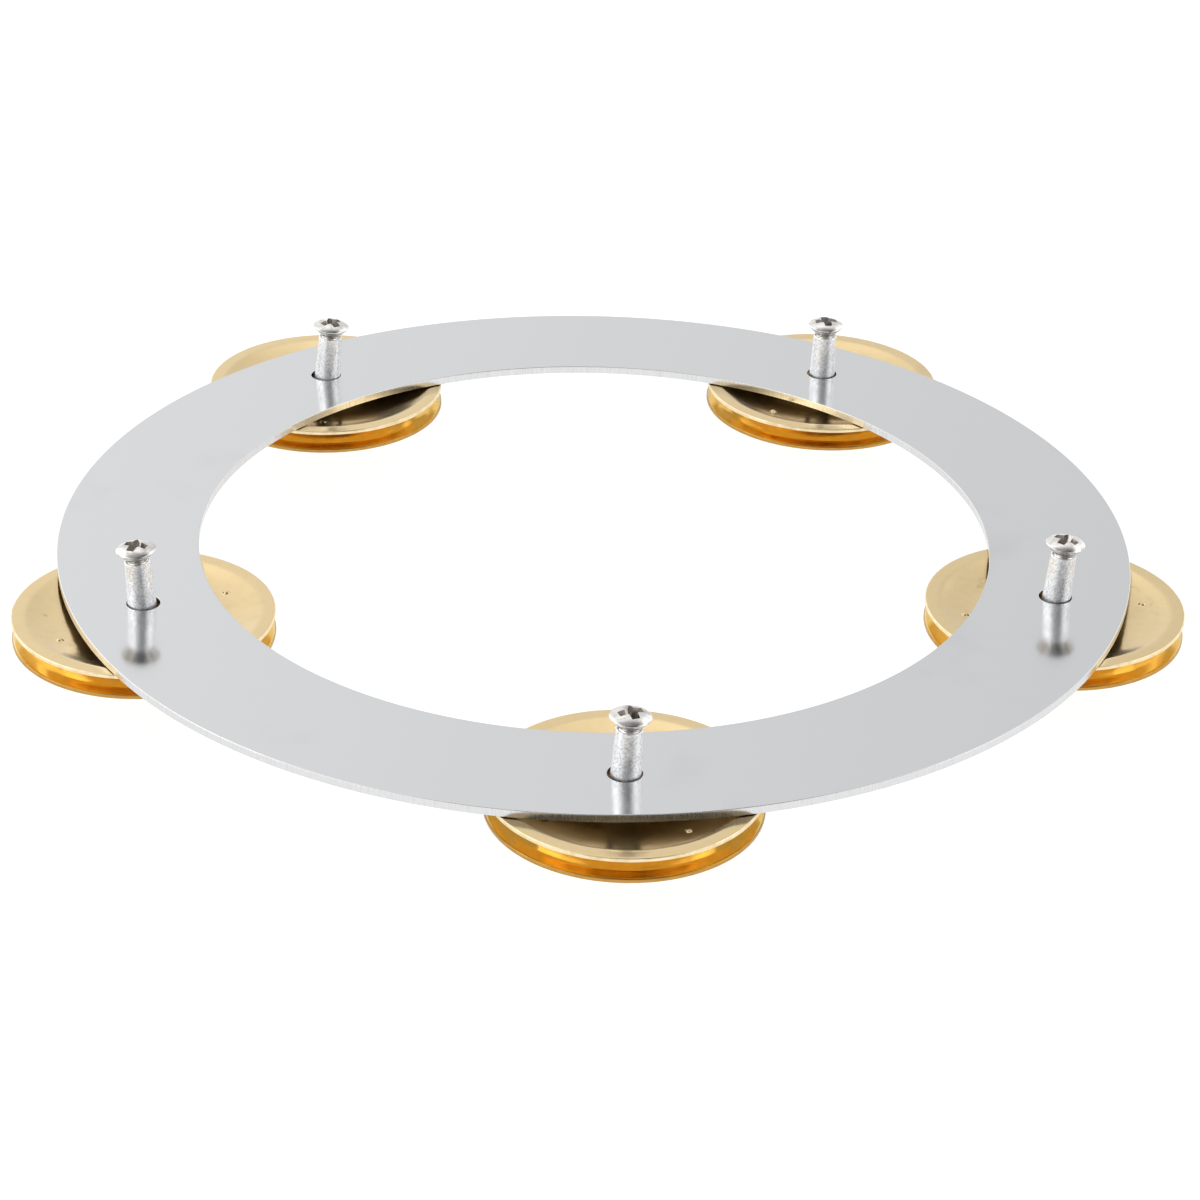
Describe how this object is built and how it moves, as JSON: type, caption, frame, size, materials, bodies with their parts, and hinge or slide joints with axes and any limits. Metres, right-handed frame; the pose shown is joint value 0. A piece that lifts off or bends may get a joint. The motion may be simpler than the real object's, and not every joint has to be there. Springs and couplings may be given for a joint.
{
  "type": "tambourine",
  "caption": "Headless tambourine: flat steel ring with back-to-back pairs of brass jingles sliding on screw posts.",
  "frame": {"origin": "centre of the ring's round opening, half way through the plate's thickness", "axes": "+Z along the ring's axis, up towards the screw heads; post 1 stands at -Y and the others follow anticlockwise every 72 degrees"},
  "size_m": [0.2158, 0.2137, 0.0186],
  "materials": {
    "polished_steel": "polished sheet, faintly satin, with a sheared edge",
    "brass": "pressed and polished, warm gold in the groove, pale on the open faces",
    "blasted_aluminium": "grainy, bead-blasted",
    "nickel_plate": "bright nickel plate"
  },
  "bodies": {
    "ring": {"ring_plate": "polished_steel"},
    "upper_jingle_1": {"upper_jingle_1": "brass"},
    "lower_jingle_1": {"lower_jingle_1": "brass"},
    "post_1": {"barrel_1": "blasted_aluminium", "screw_1": "nickel_plate"},
    "upper_jingle_2": {"upper_jingle_2": "brass"},
    "lower_jingle_2": {"lower_jingle_2": "brass"},
    "post_2": {"barrel_2": "blasted_aluminium", "screw_2": "nickel_plate"},
    "upper_jingle_3": {"upper_jingle_3": "brass"},
    "lower_jingle_3": {"lower_jingle_3": "brass"},
    "post_3": {"barrel_3": "blasted_aluminium", "screw_3": "nickel_plate"},
    "upper_jingle_4": {"upper_jingle_4": "brass"},
    "lower_jingle_4": {"lower_jingle_4": "brass"},
    "post_4": {"barrel_4": "blasted_aluminium", "screw_4": "nickel_plate"},
    "upper_jingle_5": {"upper_jingle_5": "brass"},
    "lower_jingle_5": {"lower_jingle_5": "brass"},
    "post_5": {"barrel_5": "blasted_aluminium", "screw_5": "nickel_plate"}
  },
  "joints": [
    {"name": "upper_jingle_drop_1", "type": "slide", "parent": "ring", "child": "upper_jingle_1", "axis": [-0.0436, 0, -0.999], "range_m": [0, 0.0048]},
    {"name": "lower_jingle_drop_1", "type": "slide", "parent": "upper_jingle_1", "child": "lower_jingle_1", "axis": [-0.0436, 0, -0.999], "range_m": [0, 0.0048]},
    {"name": "post_spin_1", "type": "hinge", "parent": "lower_jingle_1", "child": "post_1", "pos_m": [0, -0.08825, -0.0033], "axis": [0.0436, 0, 0.999], "continuous": true},
    {"name": "upper_jingle_drop_2", "type": "slide", "parent": "ring", "child": "upper_jingle_2", "axis": [-0.061, 0, -0.9981], "range_m": [0, 0.0048]},
    {"name": "lower_jingle_drop_2", "type": "slide", "parent": "upper_jingle_2", "child": "lower_jingle_2", "axis": [-0.061, 0, -0.9981], "range_m": [0, 0.0048]},
    {"name": "post_spin_2", "type": "hinge", "parent": "lower_jingle_2", "child": "post_2", "pos_m": [0.08393, -0.02727, -0.0033], "axis": [0.061, 0, 0.9981], "continuous": true},
    {"name": "upper_jingle_drop_3", "type": "slide", "parent": "ring", "child": "upper_jingle_3", "axis": [-0.0175, 0, -0.9998], "range_m": [0, 0.0048]},
    {"name": "lower_jingle_drop_3", "type": "slide", "parent": "upper_jingle_3", "child": "lower_jingle_3", "axis": [-0.0175, 0, -0.9998], "range_m": [0, 0.0048]},
    {"name": "post_spin_3", "type": "hinge", "parent": "lower_jingle_3", "child": "post_3", "pos_m": [0.05187, 0.0714, -0.0033], "axis": [0.0175, 0, 0.9998], "continuous": true},
    {"name": "upper_jingle_drop_4", "type": "slide", "parent": "ring", "child": "upper_jingle_4", "axis": [-0.0785, 0, -0.9969], "range_m": [0, 0.0048]},
    {"name": "lower_jingle_drop_4", "type": "slide", "parent": "upper_jingle_4", "child": "lower_jingle_4", "axis": [-0.0785, 0, -0.9969], "range_m": [0, 0.0048]},
    {"name": "post_spin_4", "type": "hinge", "parent": "lower_jingle_4", "child": "post_4", "pos_m": [-0.05187, 0.0714, -0.0033], "axis": [0.0785, 0, 0.9969], "continuous": true},
    {"name": "upper_jingle_drop_5", "type": "slide", "parent": "ring", "child": "upper_jingle_5", "axis": [0.061, 0, -0.9981], "range_m": [0, 0.0048]},
    {"name": "lower_jingle_drop_5", "type": "slide", "parent": "upper_jingle_5", "child": "lower_jingle_5", "axis": [0.061, 0, -0.9981], "range_m": [0, 0.0048]},
    {"name": "post_spin_5", "type": "hinge", "parent": "lower_jingle_5", "child": "post_5", "pos_m": [-0.08393, -0.02727, -0.0033], "axis": [-0.061, 0, 0.9981], "continuous": true}
  ]
}
